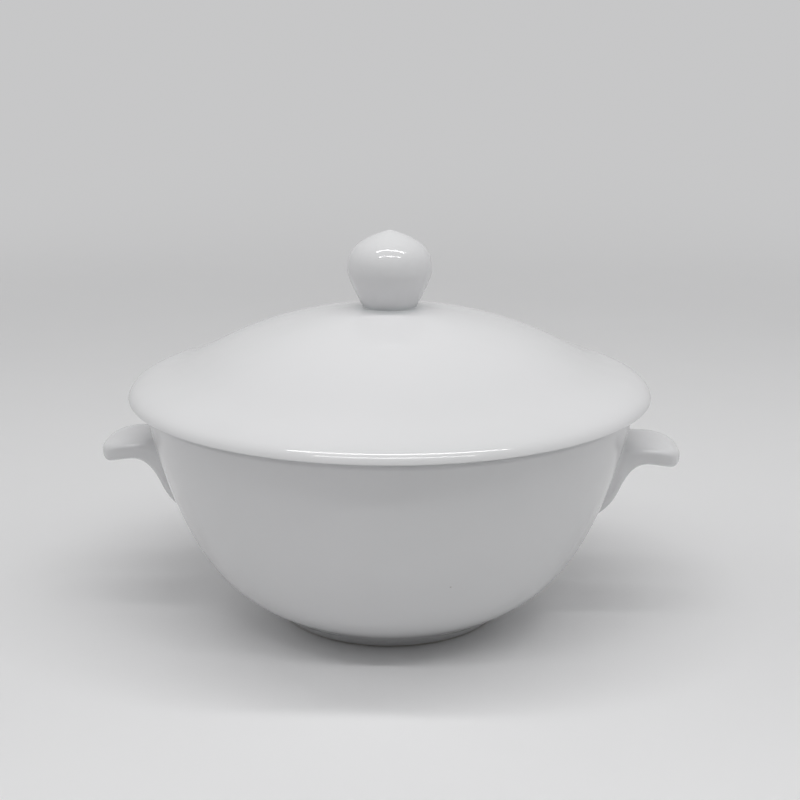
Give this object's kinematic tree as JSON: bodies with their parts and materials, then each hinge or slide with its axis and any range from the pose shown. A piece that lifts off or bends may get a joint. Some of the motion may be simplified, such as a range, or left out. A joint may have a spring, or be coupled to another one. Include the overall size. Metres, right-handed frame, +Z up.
{
  "type": "lidded stewing cup",
  "caption": "White glazed porcelain stewing cup: round bowl on a low foot ring, lug handles under its rim, and a domed lift-off lid with a pointed ball knob.",
  "frame": {"origin": "on the cup's axis at the plane of the standing ring", "axes": "+Z up along the axis, +X through the right handle"},
  "size_m": [0.1408, 0.125, 0.0941],
  "materials": {
    "bowl_porcelain": "clear gloss glaze on white porcelain, bare on the standing ring",
    "handle_porcelain": "clear gloss glaze on white porcelain",
    "lid_porcelain": "clear gloss glaze on white porcelain",
    "knob_porcelain": "clear gloss glaze on white porcelain"
  },
  "bodies": {
    "bowl_body": {"bowl": "bowl_porcelain", "handle_left": "handle_porcelain", "handle_right": "handle_porcelain"},
    "lid_body": {"lid": "lid_porcelain", "lid_knob": "knob_porcelain"}
  },
  "joints": [
    {"name": "lid_lift", "type": "slide", "parent": "bowl_body", "child": "lid_body", "axis": [0, 0, 1], "range_m": [0, 0.08]}
  ]
}
